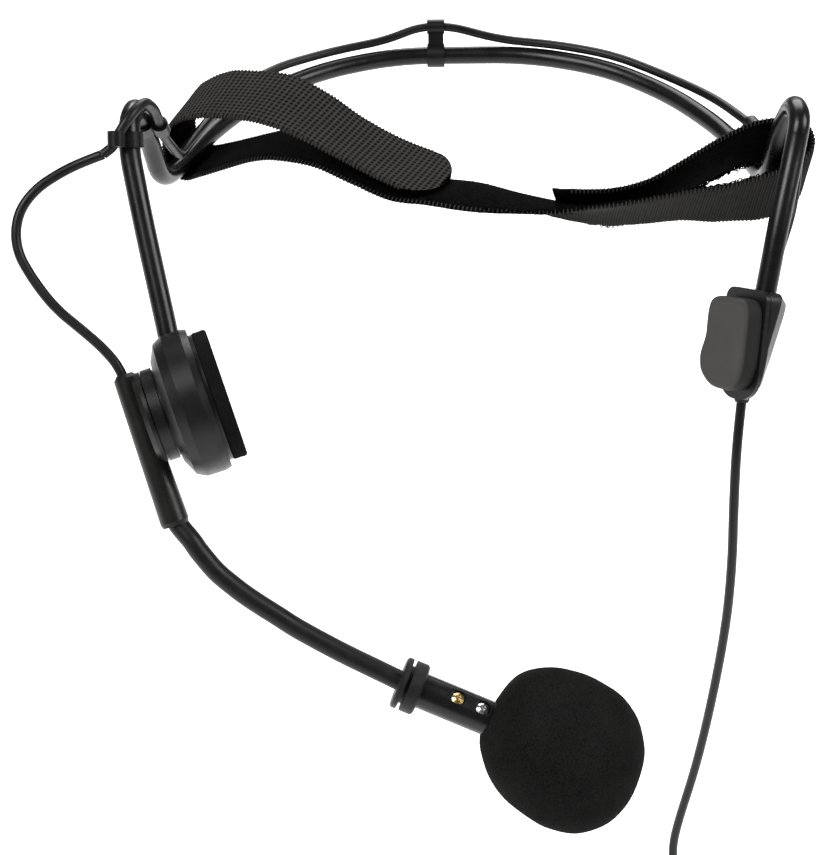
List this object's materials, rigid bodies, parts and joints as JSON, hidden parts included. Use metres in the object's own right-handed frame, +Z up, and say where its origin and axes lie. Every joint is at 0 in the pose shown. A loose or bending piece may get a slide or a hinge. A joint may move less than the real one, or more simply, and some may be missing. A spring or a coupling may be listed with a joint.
{
  "type": "headset microphone",
  "caption": "Head-worn microphone: sleeved wire frame over both ears, strap behind the head, pivoting gooseneck boom with a foam windscreen, rest pad and one thin lead.",
  "frame": {"origin": "midway between the undersides of the two ear-hook crowns, where the ears carry the frame", "axes": "+Z is up when worn, the wearer faces -Y, and +X is on the right of someone facing the wearer"},
  "size_m": [0.1907, 0.2073, 0.3023],
  "materials": {
    "vinyl_sleeve": "smooth flexible vinyl tube, satin",
    "spring_steel": "drawn spring wire",
    "cable_jacket": "soft matt cable jacket",
    "moulded_plastic": "fine moulded texture, satin",
    "clip_plastic": "moulded, satin",
    "boom_jacket": "heat-shrunk flexible jacket, satin",
    "holder_rubber": "soft moulded sleeve, satin",
    "foam": "open-cell acoustic foam, matt",
    "pad_foam": "fine closed-cell foam, matt",
    "rest_rubber": "soft warm grey rubber, matt",
    "strap_fabric": "hook-and-loop webbing with pile, matt",
    "barrel_paint": "satin black lacquer on metal",
    "brass": "machined brass",
    "screw_steel": "machined steel",
    "plated_contact": "plated contact, polished",
    "insulator": "moulded insulator",
    "seal_rubber": "moulded seal, matt",
    "circuit_board": "coated board",
    "shell_metal": "black plated metal, satin"
  },
  "bodies": {
    "root": {"back_clip": "clip_plastic", "boom_cable_loop": "cable_jacket", "coil_tie": "strap_fabric", "connector_boot": "seal_rubber", "connector_shell": "shell_metal", "frame_cable": "cable_jacket", "frame_sleeve": "vinyl_sleeve", "frame_wire": "spring_steel", "head_strap": "strap_fabric", "lead_cable": "cable_jacket", "lead_coil": "cable_jacket", "lead_tail": "cable_jacket", "left_anchor_screw": "screw_steel", "left_front_clip": "clip_plastic", "left_housing_cup": "moulded_plastic", "left_pad_foam": "pad_foam", "left_pad_plate": "moulded_plastic", "left_rear_clip": "clip_plastic", "left_wire_anchor": "brass", "pivot_friction_washer": "insulator", "pivot_hub": "moulded_plastic", "plug_insulator": "insulator", "plug_ring": "plated_contact", "plug_sleeve": "plated_contact", "plug_tip": "plated_contact", "right_anchor_screw": "screw_steel", "right_clip": "clip_plastic", "right_housing": "moulded_plastic", "right_pad_plate": "moulded_plastic", "right_rest_pad": "rest_rubber", "right_strain_relief": "seal_rubber", "right_wire_anchor": "brass"},
    "boom_arm": {"boom_holder": "holder_rubber", "holder_liner": "seal_rubber", "pivot_screw": "screw_steel", "pivot_retaining_washer": "screw_steel", "pivot_wave_washer": "spring_steel"},
    "boom_rear": {"gooseneck_jacket_rear": "boom_jacket", "gooseneck_core_rear": "spring_steel"},
    "boom_middle": {"gooseneck_jacket_middle": "boom_jacket", "gooseneck_core_middle": "spring_steel"},
    "boom_front": {"gooseneck_jacket_front": "boom_jacket", "gooseneck_core_front": "spring_steel", "moisture_ring": "seal_rubber", "capsule_barrel": "barrel_paint", "capsule_screw_brass": "brass", "capsule_screw_steel": "screw_steel", "capsule_boot": "seal_rubber", "capsule_board": "circuit_board", "capsule_can": "screw_steel", "capsule_backplate": "brass", "capsule_diaphragm": "insulator", "capsule_grille": "screw_steel"},
    "windscreen": {"windscreen": "foam"},
    "lock_collar": {"lock_collar": "shell_metal"}
  },
  "joints": [
    {"name": "boom_pivot", "type": "hinge", "parent": "root", "child": "boom_arm", "pos_m": [-0.07471, -0.04973, -0.05342], "axis": [-0.9387, -0.2809, -0.1999], "range_deg": [-20, 110], "deforming": ["boom_cable_loop"]},
    {"name": "boom_slide", "type": "slide", "parent": "boom_arm", "child": "boom_rear", "axis": [0.3175, -0.4779, -0.819], "range_m": [0, 0.02]},
    {"name": "boom_bend_rear", "type": "hinge", "parent": "boom_rear", "child": "boom_middle", "pos_m": [-0.05547, -0.06952, -0.08889], "axis": [0.5688, -0.2017, 0.7974], "range_deg": [-30, 30]},
    {"name": "boom_bend_front", "type": "hinge", "parent": "boom_middle", "child": "boom_front", "pos_m": [-0.02995, -0.07597, -0.10159], "axis": [-0.2024, -0.9793, 0], "range_deg": [-30, 30]},
    {"name": "windscreen_pull", "type": "slide", "parent": "boom_front", "child": "windscreen", "axis": [0.9238, -0.191, -0.3319], "range_m": [0, 0.024]},
    {"name": "lock_collar_turn", "type": "hinge", "parent": "root", "child": "lock_collar", "pos_m": [0.0635, -0.045, -0.2755], "axis": [0, 0, 1], "continuous": true}
  ]
}
